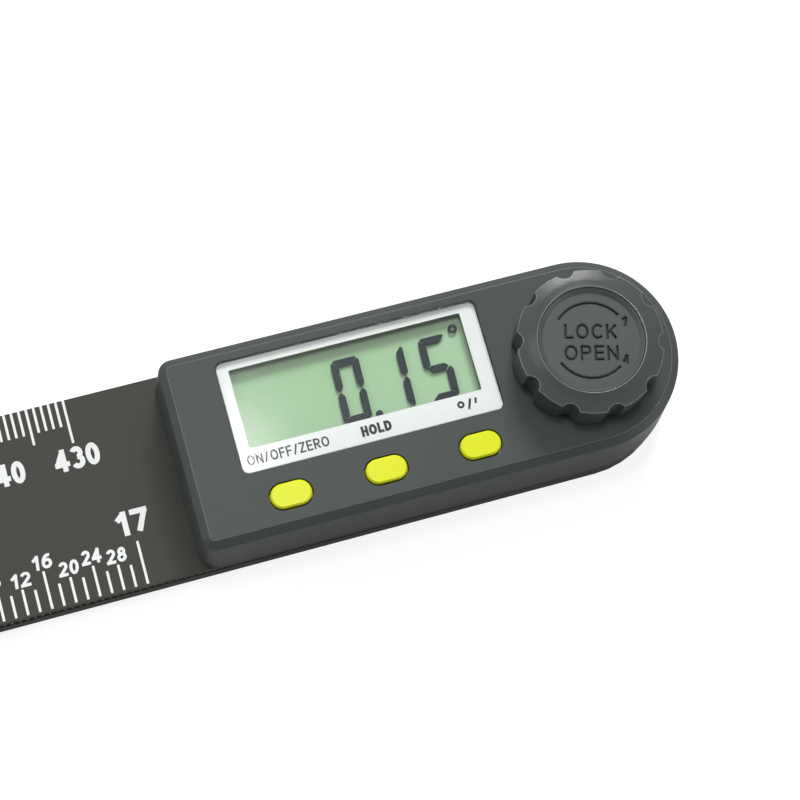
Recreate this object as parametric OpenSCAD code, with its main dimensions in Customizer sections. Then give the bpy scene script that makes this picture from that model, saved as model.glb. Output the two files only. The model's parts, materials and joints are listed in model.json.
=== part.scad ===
// Digital angle finder with two long arms.
// The origin lies on the pivot axis, in the plane that the lower arm rests on.
// The arms run towards -X, the keys are on the -Y side and the knob is on top.

/* [Arms] */
// Distance from the pivot axis to each arm's free end
arm_reach = 494.5; // [300:0.5:600]
// Width of both arms, and of the housing's foot
arm_w = 27; // [26.5:0.5:32]
// Thickness of the lower arm
lower_arm_t = 3; // [2.6:0.1:4]
// Thickness of the upper arm
upper_arm_t = 1.5; // [1.4:0.1:2.4]
// Gap between the arms, filled at the pivot by the slip washer
arm_gap = 0.2; // [0.15:0.05:0.5]
// Angle by which the lower arm stands open, as the display reads
shown_angle = 0.15; // [0:0.05:10]
// Corner radius of the arms' free ends
arm_corner_r = 1; // [0.5:0.5:5]
// Diameter of the hanging hole near each free end
hanging_hole_d = 5; // [3:0.5:8]
// Distance of the hanging hole from the free end
hanging_hole_inset = 8; // [7:0.5:20]

/* [Housing] */
// Height of the housing above the upper arm
housing_h = 10; // [9.6:0.1:12]
// Distance from the pivot axis to the housing's rear wall
housing_reach = 55.1; // [54.6:0.1:62]
// Corner radius at the housing's foot
foot_corner_r = 2.4; // [2.4:0.1:4]
// Wall thickness of the housing
shell_wall = 1.4; // [1.1:0.1:1.5]
// Thickness of the housing's top
shell_top = 1.5; // [1.4:0.1:1.8]
// How far the draft draws the wall in at the sloped rim
rim_inset = 0.61; // [0.3:0.01:0.8]
// Height of the sloped rim round the plateau
rim_drop = 0.87; // [0.5:0.01:1.2]
// How far the plateau's edge is drawn in from the foot
plateau_inset = 1.67; // [1.2:0.01:1.9]
// Height of the fine step at the plateau's edge
plateau_step = 0.16; // [0.1:0.01:0.3]

/* [Display] */
// Gap between the knob and the display lens
lens_from_knob = 2.46; // [2.3:0.01:4]
// Distance from the display lens to the housing's rear wall
lens_from_rear = 7.92; // [7.4:0.01:12]
// Distance from the display lens to the housing's far side
lens_from_far = 2.79; // [2.6:0.01:4]
// Thickness of the display lens
lens_t = 0.7; // [0.6:0.05:0.8]
// Thickness of the white mask under the lens
mask_t = 0.2; // [0.1:0.05:0.3]
// Border of the mask towards the rear wall
mask_rear = 1.54; // [1.4:0.01:3]
// Border of the mask towards the knob
mask_front = 2.16; // [1.5:0.01:4]
// Border of the mask towards the far side
mask_far = 1.115; // [1:0.005:2]
// Border of the mask towards the keys
mask_near = 3.185; // [2.6:0.005:5]
// How far the display glass stays inside each end of the lens
lcd_end_inset = 0.75; // [0.5:0.05:1.2]
// How far the display glass stays inside the lens towards the keys
lcd_near_inset = 1.525; // [1:0.005:2.2]
// How far the display glass stays inside the lens towards the far side
lcd_far_inset = 0.125; // [0.1:0.005:0.5]
// Thickness of the display glass
lcd_t = 1.8; // [1.4:0.1:2]

/* [Keys] */
// Length of a key
key_l = 5.4; // [4.6:0.1:7]
// Width of a key
key_w = 3.25; // [2.6:0.05:3.8]
// Distance from the rear key to the rear end of the lens
key_from_rear_end = 5.13; // [4.5:0.01:7]
// Distance from the front key to the front end of the lens
key_from_front_end = 4.57; // [4.2:0.01:6]
// Distance from the keys to the lens
key_from_lens = 4.11; // [3.9:0.01:5]
// Distance from the keys to the housing's near side
key_from_side = 5.05; // [4.7:0.01:6]
// Height of a key above the plateau
key_proud = 0.35; // [0.2:0.05:0.6]
// Travel of a key
key_travel = 0.35; // [0.2:0.05:0.5]
// Gap round a key
key_gap = 0.22; // [0.15:0.01:0.3]

/* [Battery] */
// Gap between the battery holder and the foot of the housing's wall
holder_wall_gap = 0.95; // [0.8:0.05:3]
// Wall thickness of the battery holder
holder_wall = 1; // [0.8:0.1:1.5]
// Gap between the coin cell and its holder
cell_gap = 0.15; // [0.1:0.05:0.3]
// Thickness of the coin cell
cell_t = 3.2; // [2:0.1:3.2]
// Distance from the cell's centre to the housing's rear wall
cell_from_rear = 19.1; // [17.5:0.1:20]

/* [Pivot] */
// Diameter of the pivot bolt
bolt_d = 5; // [4:0.1:6]
// Diameter of the bolt's flat head
bolt_head_d = 12; // [10:0.5:14]
// Thickness of the bolt's flat head
bolt_head_t = 1.5; // [1:0.1:1.8]
// Width of the square neck under the head
bolt_neck_w = 6.2; // [6:0.1:7]
// Diameter of the pivot bush
bush_d = 8.4; // [7.8:0.1:9]
// Diameter of the bush's flange
bush_flange_d = 13; // [11:0.5:15]
// Diameter of the slip washer between the arms
slip_washer_d = 24; // [16:0.5:26]
// Gap between the angle sensor's rotor and the foot of the housing's wall
rotor_wall_gap = 1.6; // [1.2:0.1:4]
// Radial clearance of what turns on the bolt
running_gap = 0.05; // [0.03:0.01:0.08]

/* [Knob] */
// Largest radius of the knob, over the lobes
knob_r = 9.62; // [9.4:0.01:11]
// Radius of the knob's top rim
knob_rim_r = 7.19; // [6.8:0.01:7.6]
// Height of the knob's sharp edge above the plateau
knob_edge_h = 5.89; // [5.6:0.01:7.5]
// Rise of the cone from the sharp edge to the top rim
knob_cone_h = 1; // [0.6:0.05:1.2]
// Gap between the knob and the plateau
knob_lift = 0.45; // [0.3:0.05:0.8]
// Number of lobes
knob_lobes = 10; // [8:1:12]
// Depth of the notches between the lobes
notch_depth = 0.77; // [0.4:0.01:1]
// Depth of the recess that holds the cap
cap_recess = 0.35; // [0.2:0.05:0.6]
// Thickness of the knob's cap
cap_t = 1; // [0.8:0.1:1.2]
// Angle of the knob from the arms' direction when locked
knob_angle = -14.5; // [-45:0.5:45]

/* [Hidden] */

$fn = 64;
eps = 0.01;
seat_gap = 0.03;              // clearance of pieces that are pressed or screwed together

// Heights, from the plane that the lower arm rests on
upper_arm_z = lower_arm_t + arm_gap;
arm_top = upper_arm_z + upper_arm_t;
housing_top = arm_top + housing_h;
ceiling = housing_top - shell_top;

// Battery, between its cover and the board
cell_d = arm_w - 2 * (shell_wall + holder_wall_gap + holder_wall + cell_gap);
cell_from_pivot = housing_reach - cell_from_rear;
cover_floor_t = 0.3;          // how far the cover's floor stands above the arm's face
lug_t = 0.55;
contact_t = 0.4;
cell_z = arm_top + cover_floor_t;
board_z = cell_z + cell_t + contact_t;
board_t = 0.8;
board_top = board_z + board_t;

// Display, hung from the ceiling
lens_sink = 0.05;             // the lens lies this far below the plateau
pocket_gap = 0.1;             // clearance round the lens
lens_from_pivot = knob_r + lens_from_knob;   // to the lens's front end
lens_l = housing_reach - lens_from_rear - lens_from_pivot;
lens_w = arm_w - lens_from_far - key_from_lens - key_from_side;
lens_x = -lens_from_pivot - lens_l / 2;
lens_y = (arm_w - lens_w) / 2 - lens_from_far;
lens_corner_r = 1;
mask_z = housing_top - lens_sink - lens_t - mask_t;
window_l = lens_l - mask_rear - mask_front;
window_w = lens_w - mask_near - mask_far;
window_x = lens_x + (mask_rear - mask_front) / 2;
window_y = lens_y + (mask_near - mask_far) / 2;
window_corner_r = 0.25;
lcd_z = ceiling - lcd_t;
lcd_l = lens_l - 2 * lcd_end_inset;
lcd_w = lens_w - lcd_near_inset - lcd_far_inset;
lcd_y = lens_y + (lcd_near_inset - lcd_far_inset) / 2;
ledge = 0.7;                  // ledge round the opening under the mask
opening_l = lcd_l - 2 * ledge;
opening_w = lcd_w - 2 * ledge;

// Row of keys
rear_key_x = -housing_reach + lens_from_rear + key_from_rear_end;
front_key_x = -lens_from_pivot - key_from_front_end;
key_from_pivot = -(rear_key_x + front_key_x) / 2;
key_pitch = (front_key_x - rear_key_x) / 2;
key_off_centre = arm_w / 2 - key_from_side;

// Pivot stack
bush_flange_t = 0.8;
bush_top = arm_top + bush_flange_t;
spring_h = 0.6;
rotor_hub_z = bush_top + spring_h;
rotor_t = 0.8;
rotor_d = arm_w - 2 * (shell_wall + rotor_wall_gap);
sensor_gap = 0.3;
rotor_z = board_z - sensor_gap - rotor_t;
rotor_hub_d = bolt_d + 4;
rotor_hub_top = board_top + 0.5;
sleeve_d = bolt_d + 3;
sleeve_top = housing_top + knob_lift + 0.1;
washer_t = 0.5;
washer_rim = 4;
washer_d = bolt_d + 2 * washer_rim;
insert_z = sleeve_top + washer_t;
board_hole_d = rotor_hub_d + 3;
shaft_flat = bolt_d / 2 - 0.5;

// Knob
knob_z = housing_top + knob_lift;
knob_edge_z = housing_top + knob_edge_h;
knob_top = knob_edge_z + knob_cone_h;
cap_z = knob_top - cap_recess - cap_t;
insert_across = bolt_d + 3.4;
insert_top = cap_z - 0.3;
bolt_top = insert_top - 0.2;
cap_r = knob_rim_r - 0.25;

// Screws: posts that hang from the housing's top, clear of the display and the rotor
screw_d = 2;
post_d = 3.8;
post_hole_d = post_d + 0.5;   // cut-out of the board round a post
rear_post_gap = 1.2;          // gap between a post and the foot of the rear wall
side_post_gap = 1;            // gap between a post and the foot of a side wall
rear_post_x = -housing_reach + shell_wall + rear_post_gap + post_d / 2;
front_post_x = -lens_from_pivot + 1.5;       // between the lens and the knob
post_y = arm_w / 2 - shell_wall - side_post_gap - post_d / 2;
posts = [[rear_post_x, post_y], [rear_post_x, -post_y],
         [front_post_x, post_y], [front_post_x, -post_y]];
screw_head_d = 3.6;
screw_head_t = 0.8;
screw_grip = 4.5;             // how far a housing screw reaches into its post
board_screw_d = 1.6;
board_screw_grip = 2.4;       // how far a board screw reaches past the board
board_post_d = 3.2;
board_screws_at = [[rear_post_x, 0], [-key_from_pivot + key_pitch / 2, -key_off_centre - 1]];

// Keys
key_flange = 0.7;             // how far a key's flange reaches past its slot
key_flange_t = 0.7;
key_stem_h = 0.6;
switch_w = 4.4;
switch_h = ceiling - key_flange_t - key_stem_h - key_travel - board_top;

// A rectangle with round corners, centred on the origin
module rounded_rect(l, w, r) {
  square([l, w - 2 * r], center = true);
  square([l - 2 * r, w], center = true);
  for (x = [-1, 1], y = [-1, 1])
    translate([x * (l / 2 - r), y * (w / 2 - r)]) circle(r, $fn = 32);
}

// A slot with round ends, along X
module stadium(l, w) {
  square([l - w, w], center = true);
  for (x = [-1, 1]) translate([x * (l - w) / 2, 0]) circle(d = w, $fn = 40);
}

// The outline of an arm: square free end with eased corners, round end at the pivot
module arm_outline() {
  circle(d = arm_w, $fn = 96);
  translate([-arm_reach / 2, 0]) rounded_rect(arm_reach, arm_w, arm_corner_r);
  translate([-arm_reach / 2, -arm_w / 2]) square([arm_reach / 2, arm_w]);
}

module hanging_hole() {
  translate([-arm_reach + hanging_hole_inset, 0]) circle(d = hanging_hole_d);
}

// A ring round the pivot axis, from z to z + h
module ring(z, h, outer_d, inner_d) {
  translate([0, 0, z])
    difference() {
      cylinder(h = h, d = outer_d);
      translate([0, 0, -eps]) cylinder(h = h + 2 * eps, d = inner_d);
    }
}

// The pivot bolt's shank, with a flat that turns the rotor
module keyed_circle(d, flat) {
  intersection() {
    circle(d = d);
    translate([-d, -d]) square([2 * d, d + flat]);
  }
}

// A slice of the housing between two heights above the arm, drawn in by inset0 below and inset1 above
module housing_slice(z0, inset0, z1, inset1) {
  translate([0, 0, arm_top + z0])
    hull() {
      cylinder(h = z1 - z0, r1 = arm_w / 2 - inset0, r2 = arm_w / 2 - inset1, $fn = 96);
      for (y = [-1, 1])
        translate([-housing_reach + foot_corner_r, y * (arm_w / 2 - foot_corner_r), 0])
          cylinder(h = z1 - z0, r1 = foot_corner_r - inset0, r2 = foot_corner_r - inset1, $fn = 32);
    }
}

// How far the draft has drawn the wall in at a height above the arm
function draft_at(z) = rim_inset * z / (housing_h - rim_drop);

// ---- The lower arm and what turns with it ----

module lower_arm() {
  color("#4a4c4a")
    rotate([0, 0, shown_angle])
      difference() {
        linear_extrude(lower_arm_t)
          difference() {
            arm_outline();
            hanging_hole();
            square(bolt_neck_w + 2 * seat_gap, center = true);
          }
        translate([0, 0, -eps]) cylinder(h = bolt_head_t + eps, d = bolt_head_d + 2 * seat_gap);
      }
}

module pivot_bolt() {
  color("silver")
    rotate([0, 0, shown_angle]) {
      cylinder(h = bolt_head_t, d = bolt_head_d);
      translate([0, 0, bolt_head_t - eps]) linear_extrude(lower_arm_t - bolt_head_t + eps)
        square(bolt_neck_w, center = true);
      translate([0, 0, lower_arm_t - eps]) cylinder(h = rotor_hub_z - lower_arm_t + 2 * eps, d = bolt_d);
      translate([0, 0, rotor_hub_z]) linear_extrude(rotor_hub_top - rotor_hub_z)
        keyed_circle(bolt_d, shaft_flat);
      translate([0, 0, rotor_hub_top - eps]) cylinder(h = bolt_top - rotor_hub_top + eps, d = bolt_d);
    }
}

module spring_washer() {
  rise = spring_h / 2;
  color("lightgray")
    translate([0, 0, bush_top])
      rotate_extrude()
        polygon([[bolt_d / 2 + 0.15, rise], [bolt_d / 2 + 2.2, 0], [bolt_d / 2 + 2.2, rise],
                 [bolt_d / 2 + 0.15, spring_h]]);
}

module encoder_rotor() {
  color("goldenrod")
    rotate([0, 0, shown_angle])
      translate([0, 0, rotor_hub_z])
        difference() {
          union() {
            cylinder(h = rotor_hub_top - rotor_hub_z, d = rotor_hub_d);
            translate([0, 0, rotor_z - rotor_hub_z]) cylinder(h = rotor_t, d = rotor_d);
          }
          translate([0, 0, -eps]) linear_extrude(rotor_hub_top - rotor_hub_z + 2 * eps)
            keyed_circle(bolt_d + 2 * running_gap, shaft_flat + running_gap);
        }
}

module thrust_sleeve() {
  color("silver") ring(rotor_hub_top, sleeve_top - rotor_hub_top, sleeve_d, bolt_d + 2 * running_gap);
}

module clamp_washer() {
  color("lightgray") ring(sleeve_top, washer_t, washer_d, bolt_d + 0.3);
}

// ---- The knob ----

// Outline of the knob: a circle with a narrow round notch between each two lobes
module knob_outline() {
  notch_r = 1.3;
  difference() {
    circle(knob_r, $fn = 120);
    for (i = [0 : knob_lobes - 1])
      rotate(i * 360 / knob_lobes)
        translate([knob_r - notch_depth + notch_r, 0]) circle(notch_r, $fn = 32);
  }
}

// Section of the knob: skirt, hollow underside, cone and rim
module knob_section() {
  skirt_t = 1.5;
  roof = cap_z - 0.8;
  hub_r = insert_across / 2 / cos(30) + 1;
  polygon([[0, insert_z + 0.05], [hub_r, insert_z + 0.05], [hub_r, roof], [knob_r - skirt_t, roof],
           [knob_r - skirt_t, knob_z], [knob_r + 1, knob_z], [knob_r + 1, knob_edge_z],
           [knob_r, knob_edge_z], [(knob_r + knob_rim_r) / 2 - 0.1, knob_edge_z + knob_cone_h * 0.42],
           [knob_rim_r + 0.18, knob_top - 0.08], [knob_rim_r, knob_top], [knob_rim_r - 0.12, knob_top],
           [cap_r + 0.05, knob_top - 0.12], [cap_r + 0.05, cap_z], [0, cap_z]]);
}

module lock_knob() {
  color("#3f423f")
    rotate([0, 0, knob_angle])
      difference() {
        intersection() {
          rotate_extrude($fn = 120) knob_section();
          translate([0, 0, knob_z]) linear_extrude(knob_top - knob_z) knob_outline();
        }
        translate([0, 0, insert_z]) linear_extrude(insert_top - insert_z)
          circle(d = (insert_across + 2 * seat_gap) / cos(30), $fn = 6);
        translate([0, 0, insert_top - eps]) cylinder(h = cap_z - insert_top + 2 * eps, d = bolt_d + 1);
      }
}

module knob_insert() {
  color("goldenrod")
    rotate([0, 0, knob_angle])
      translate([0, 0, insert_z])
        difference() {
          linear_extrude(insert_top - insert_z) circle(d = insert_across / cos(30), $fn = 6);
          translate([0, 0, -eps]) cylinder(h = insert_top - insert_z + 2 * eps, d = bolt_d + 2 * running_gap);
        }
}

module knob_cap() {
  color("#3c3f3d")
    rotate([0, 0, knob_angle])
      translate([0, 0, cap_z]) cylinder(h = cap_t, r = cap_r, $fn = 96);
}

// ---- The upper arm and the housing ----

module slip_washer() {
  color("white") ring(lower_arm_t, arm_gap, slip_washer_d, bush_d + 0.6);
}

// Sectors that pass or hold the battery cover's three lugs
module lug_sectors(r, angle, turn) {
  intersection() {
    circle(r);
    for (i = [0 : 2])
      rotate(turn + i * 120)
        polygon([[0, 0], [2 * r * cos(angle / 2), -2 * r * sin(angle / 2)],
                 [2 * r * cos(angle / 2), 2 * r * sin(angle / 2)]]);
  }
}

cover_r = cell_d / 2 + 0.75;
lug_r = cover_r + 0.8;
lug_angle = 26;
unlock_turn = 60;

module upper_arm() {
  color("#4e504d")
    translate([0, 0, upper_arm_z])
      difference() {
        linear_extrude(upper_arm_t)
          difference() {
            arm_outline();
            hanging_hole();
            circle(d = bush_d + 2 * seat_gap);
            translate([-cell_from_pivot, 0]) {
              circle(cover_r + 0.1);
              lug_sectors(lug_r + 0.12, lug_angle + 8, unlock_turn);
            }
            for (p = posts) translate(p) circle(d = screw_d + 0.2);
          }
        for (p = posts)
          translate([p[0], p[1], -eps])
            cylinder(h = screw_head_t + 0.05, d1 = screw_head_d + 0.2, d2 = screw_d + 0.2);
      }
}

module pivot_bush() {
  color("goldenrod")
    difference() {
      union() {
        translate([0, 0, upper_arm_z]) cylinder(h = upper_arm_t + eps, d = bush_d);
        translate([0, 0, arm_top]) cylinder(h = bush_flange_t, d = bush_flange_d);
      }
      translate([0, 0, upper_arm_z - eps])
        cylinder(h = upper_arm_t + bush_flange_t + 2 * eps, d = bolt_d + 2 * running_gap);
    }
}

module housing_cover() {
  slope_top = housing_h - plateau_step;
  inside_h = housing_h - shell_top;
  color("#596059")
    difference() {
      union() {
        difference() {
          union() {
            housing_slice(0, 0, housing_h - rim_drop, rim_inset);
            housing_slice(housing_h - rim_drop, rim_inset, slope_top, plateau_inset - 0.1);
            housing_slice(slope_top, plateau_inset, housing_h, plateau_inset);
          }
          housing_slice(-eps, shell_wall, inside_h, shell_wall + draft_at(inside_h));
        }
        for (p = posts)
          translate([p[0], p[1], arm_top]) cylinder(h = inside_h + eps, d = post_d);
        for (p = board_screws_at)
          translate([p[0], p[1], board_top]) cylinder(h = ceiling - board_top + eps, d = board_post_d);
        ring(rotor_hub_top + 0.4, ceiling - rotor_hub_top - 0.4 + eps, sleeve_d + 4, sleeve_d + 0.6);
      }
      // pocket for the lens and the opening for the glass
      translate([lens_x, lens_y, mask_z]) linear_extrude(housing_top)
        rounded_rect(lens_l + 2 * pocket_gap, lens_w + 2 * pocket_gap, lens_corner_r);
      translate([lens_x, lcd_y, ceiling - 1]) linear_extrude(housing_top)
        rounded_rect(opening_l, opening_w, 0.5);
      // slots for the keys
      for (i = [-1 : 1])
        translate([-key_from_pivot + i * key_pitch, -key_off_centre, ceiling - 1])
          linear_extrude(housing_top) stadium(key_l + 2 * key_gap, key_w + 2 * key_gap);
      translate([0, 0, ceiling - 1]) cylinder(h = housing_top, d = sleeve_d + 0.6);
      for (p = posts)
        translate([p[0], p[1], arm_top - eps])
          cylinder(h = screw_grip + 0.5, d = screw_d + 2 * seat_gap, $fn = 32);
      for (p = board_screws_at)
        translate([p[0], p[1], board_top - eps])
          cylinder(h = board_screw_grip + 0.2, d = board_screw_d + 2 * seat_gap, $fn = 32);
    }
}

module countersunk_screw(d, head_d, head_t, length) {
  cylinder(h = head_t, d1 = head_d, d2 = d, $fn = 32);
  translate([0, 0, head_t - eps]) cylinder(h = length - head_t + eps, d = d, $fn = 32);
}

module housing_screws() {
  color("silver")
    for (p = posts)
      translate([p[0], p[1], upper_arm_z])
        countersunk_screw(screw_d, screw_head_d, screw_head_t, upper_arm_t + screw_grip);
}

module board_screws() {
  color("silver")
    for (p = board_screws_at)
      translate([p[0], p[1], board_z]) {
        translate([0, 0, -0.7]) cylinder(h = 0.7, d = board_screw_d + 1.2, $fn = 32);
        translate([0, 0, -eps]) cylinder(h = board_t + board_screw_grip, d = board_screw_d, $fn = 32);
      }
}

// ---- Display ----

module display_lens() {
  color([0.85, 0.9, 0.88, 0.35])
    translate([lens_x, lens_y, mask_z + mask_t]) linear_extrude(lens_t)
      rounded_rect(lens_l, lens_w, lens_corner_r - pocket_gap);
}

module display_mask() {
  color("white")
    translate([0, 0, mask_z]) linear_extrude(mask_t)
      difference() {
        translate([lens_x, lens_y]) rounded_rect(lens_l, lens_w, lens_corner_r - pocket_gap);
        translate([window_x, window_y]) rounded_rect(window_l, window_w, window_corner_r);
      }
}

module lcd_panel() {
  color("#b4d4ac")
    translate([lens_x - lcd_l / 2, lcd_y - lcd_w / 2, lcd_z]) cube([lcd_l, lcd_w, lcd_t]);
}

module zebra_strip() {
  strip_w = 1.8;
  color("pink")
    translate([lens_x - lcd_l / 2 + 1, lcd_y - lcd_w / 2 + 0.2, board_top])
      cube([lcd_l - 2, strip_w, lcd_z - board_top]);
}

module circuit_board() {
  margin = shell_wall + draft_at(housing_h) + 0.2;
  r = arm_w / 2 - margin;
  color("darkgreen")
    translate([0, 0, board_z]) linear_extrude(board_t)
      difference() {
        union() {
          circle(r);
          translate([-housing_reach + margin, -r]) square([housing_reach - margin, 2 * r]);
        }
        circle(d = board_hole_d);
        for (p = posts) translate(p) circle(d = post_hole_d);
        for (p = board_screws_at) translate(p) circle(d = board_screw_d + 0.2);
        // corners cut away beside the rear posts
        for (side = [0, 1])
          mirror([0, side])
            translate([-housing_reach, post_y])
              square([housing_reach + rear_post_x + post_hole_d / 2, arm_w]);
      }
}

// ---- Keys ----

module key_at(i) {
  body_top = housing_top + key_proud;
  ease = 0.22;
  color("#e0ea30")
    translate([-key_from_pivot + i * key_pitch, -key_off_centre, 0]) {
      translate([0, 0, ceiling - key_flange_t]) linear_extrude(key_flange_t - 0.02)
        stadium(key_l + 2 * key_flange, key_w + 2 * key_flange);
      translate([0, 0, ceiling - 0.1]) linear_extrude(body_top - ease - ceiling + 0.1) stadium(key_l, key_w);
      translate([0, 0, body_top - ease])
        hull()
          for (x = [-1, 1])
            translate([x * (key_l - key_w) / 2, 0, 0])
              cylinder(h = ease, d1 = key_w, d2 = key_w - 2 * ease, $fn = 40);
      translate([0, 0, ceiling - key_flange_t - key_stem_h]) cylinder(h = key_stem_h + eps, d = 2, $fn = 32);
    }
}

module power_key() { key_at(-1); }
module hold_key() { key_at(0); }
module unit_key() { key_at(1); }

module key_switches() {
  color("dimgray")
    for (i = [-1 : 1])
      translate([-key_from_pivot + i * key_pitch, -key_off_centre, board_top]) {
        translate([-switch_w / 2, -switch_w / 2, 0]) cube([switch_w, switch_w, switch_h - 0.3]);
        cylinder(h = switch_h, d = 2.2, $fn = 32);
      }
}

// ---- Battery ----

module battery_cell() {
  color("silver")
    translate([-cell_from_pivot, 0, cell_z]) {
      cylinder(h = cell_t - 0.3, d = cell_d);
      translate([0, 0, cell_t - 0.3 - eps]) cylinder(h = 0.3 + eps, d = cell_d - 2.4);
    }
}

holder_z = arm_top + lug_t + cover_floor_t;

module battery_holder() {
  color("dimgray")
    translate([-cell_from_pivot, 0, holder_z])
      difference() {
        cylinder(h = board_z - holder_z, r = cell_d / 2 + cell_gap + holder_wall);
        translate([0, 0, -eps]) cylinder(h = board_z - holder_z + 2 * eps, r = cell_d / 2 + cell_gap);
        // gap for the side contact
        translate([0, -2.2, -eps]) cube([cell_d, 4.4, board_z - holder_z + 2 * eps]);
      }
}

module battery_contact_top() {
  color("gold")
    translate([-cell_from_pivot, 0, cell_z + cell_t]) {
      translate([-3.5, -1.6, 0]) cube([7, 3.2, contact_t / 2]);
      translate([-3.5, -1.6, contact_t / 2 - eps]) cube([2, 3.2, contact_t / 2 + eps]);
    }
}

module battery_contact_side() {
  strip_t = 0.3;
  color("gold")
    translate([-cell_from_pivot + cell_d / 2 + 0.05, -1.8, 0]) {
      translate([0, 0, cell_z + 0.5]) cube([strip_t, 3.6, board_z - cell_z - 0.5]);
      translate([0, 0, board_z - strip_t]) cube([1.8, 3.6, strip_t]);
    }
}

module battery_cover() {
  coin_slot_w = 1.8;
  coin_slot_l = cell_d * 0.6;
  color("#4e504d")
    translate([-cell_from_pivot, 0, 0])
      difference() {
        union() {
          translate([0, 0, upper_arm_z]) cylinder(h = upper_arm_t + cover_floor_t, r = cover_r);
          translate([0, 0, arm_top + 0.05]) linear_extrude(lug_t)
            difference() {
              lug_sectors(lug_r, lug_angle, 0);
              circle(cell_d / 2 + 0.1);
            }
          translate([0, 0, arm_top + cover_floor_t - eps]) linear_extrude(lug_t - cover_floor_t + 0.05)
            difference() {
              circle(cover_r);
              circle(cell_d / 2 + 0.1);
            }
        }
        translate([0, 0, upper_arm_z - eps]) linear_extrude(0.9) stadium(coin_slot_l, coin_slot_w);
      }
}

lower_arm();
pivot_bolt();
slip_washer();
upper_arm();
pivot_bush();
spring_washer();
encoder_rotor();
thrust_sleeve();
clamp_washer();
lock_knob();
knob_insert();
knob_cap();
housing_cover();
display_lens();
display_mask();
lcd_panel();
zebra_strip();
circuit_board();
key_switches();
power_key();
hold_key();
unit_key();
battery_cell();
battery_holder();
battery_contact_top();
battery_contact_side();
battery_cover();
housing_screws();
board_screws();
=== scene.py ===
# %% [markdown]
# # A digital angle finder with two long arms
# Two flat plastic rules turn on one pivot. The upper one carries a housing with a display, three keys
# and a lock knob. The shapes and places of its parts come from a imported CAD model, so this lesson is
# about surfaces: softened edges, printed scales, a display that looks like liquid crystal, engraved
# letters and moulded plastic. The first cell loads the parts.

# %% Load the parts
import json
import math

import bmesh
import bpy
from mathutils import Matrix, Vector


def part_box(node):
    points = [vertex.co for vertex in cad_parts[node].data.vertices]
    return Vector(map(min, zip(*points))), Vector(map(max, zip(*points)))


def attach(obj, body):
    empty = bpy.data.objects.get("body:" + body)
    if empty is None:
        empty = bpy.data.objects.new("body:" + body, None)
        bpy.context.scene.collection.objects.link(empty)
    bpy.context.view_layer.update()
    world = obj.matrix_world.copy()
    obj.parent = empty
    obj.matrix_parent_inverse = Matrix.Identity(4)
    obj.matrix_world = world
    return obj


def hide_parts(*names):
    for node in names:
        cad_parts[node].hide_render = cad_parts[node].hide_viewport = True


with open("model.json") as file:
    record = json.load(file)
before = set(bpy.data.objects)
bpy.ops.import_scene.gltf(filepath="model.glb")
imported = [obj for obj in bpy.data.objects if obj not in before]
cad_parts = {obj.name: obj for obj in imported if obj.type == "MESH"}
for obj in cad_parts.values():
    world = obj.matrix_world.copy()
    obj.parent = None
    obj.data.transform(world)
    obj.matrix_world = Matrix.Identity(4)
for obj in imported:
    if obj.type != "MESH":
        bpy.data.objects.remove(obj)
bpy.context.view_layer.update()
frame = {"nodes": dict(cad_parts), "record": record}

MM = 0.001

# %% [markdown]
# ## Sizes that the looks need
# The printed scales, the display and the engraving sit on faces of the CAD parts, so their heights are
# read from the parts' boxes. What is printed has sizes of its own, in millimetres, and is named here.

# %% Heights and edges, in mm


def box_mm(node):
    low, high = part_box(node)
    return [v / MM for v in low], [v / MM for v in high]


arm_low, arm_high = box_mm("upper_arm")
FREE_END = arm_low[0]
ARM_EDGE = arm_high[1]
ARM_TOP = arm_high[2]
LOWER_TOP = box_mm("lower_arm")[1][2]
PLATEAU = box_mm("housing_cover")[1][2]
MASK_TOP = box_mm("display_mask")[1][2]
CAP_LOW = box_mm("knob_cap")[0][2]
CAP_RADIUS = box_mm("knob_cap")[1][0]
SHOWN_ANGLE = 0.15       # degrees between the arms, as the display reads
KNOB_ANGLE = -14.5       # degrees between the knob's lettering and the arms
INK = 0.02               # thickness of the print
print("arm top", round(ARM_TOP, 2), "plateau", round(PLATEAU, 2), "cap radius", round(CAP_RADIUS, 2))

# %% [markdown]
# ## Working by hand, in code
# Every piece is made with the operators that the menus call. An operator acts on whatever is selected,
# so these helpers select one piece, or choose its faces and edges by their place, and apply a finished
# piece's transform, which leaves its object at the origin and its place in its mesh.

# %% Helpers for selecting and shaping


def select_only(piece):
    bpy.ops.object.select_all(action="DESELECT")
    piece.select_set(True)
    bpy.context.view_layer.objects.active = piece


def edit(piece):
    select_only(piece)
    bpy.ops.object.mode_set(mode="EDIT")
    bpy.ops.mesh.select_all(action="SELECT")


def stop_editing():
    bpy.ops.object.mode_set(mode="OBJECT")


def centre_mm(edge):
    """The middle of an edge, in mm."""
    return (edge.verts[0].co + edge.verts[1].co) / 2 / MM


def pick(piece, kind, test):
    """In edit mode, select the VERTs, EDGEs or FACEs that pass the test, and count them."""
    bpy.ops.mesh.select_mode(type=kind)
    bpy.ops.mesh.select_all(action="DESELECT")
    mesh = bmesh.from_edit_mesh(piece.data)
    elements = {"VERT": mesh.verts, "EDGE": mesh.edges, "FACE": mesh.faces}[kind]
    chosen = [e for e in elements if test(e)]
    for element in chosen:
        element.select_set(True)
    mesh.select_flush_mode()
    bmesh.update_edit_mesh(piece.data)
    return len(chosen)


def apply_place(piece):
    select_only(piece)
    bpy.ops.object.transform_apply(location=True, rotation=True, scale=True)


def apply_modifier(piece, kind, **settings):
    select_only(piece)
    bpy.ops.object.modifier_add(type=kind)
    modifier = piece.modifiers[-1]
    for name, value in settings.items():
        setattr(modifier, name, value)
    bpy.ops.object.modifier_apply(modifier=modifier.name)


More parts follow.
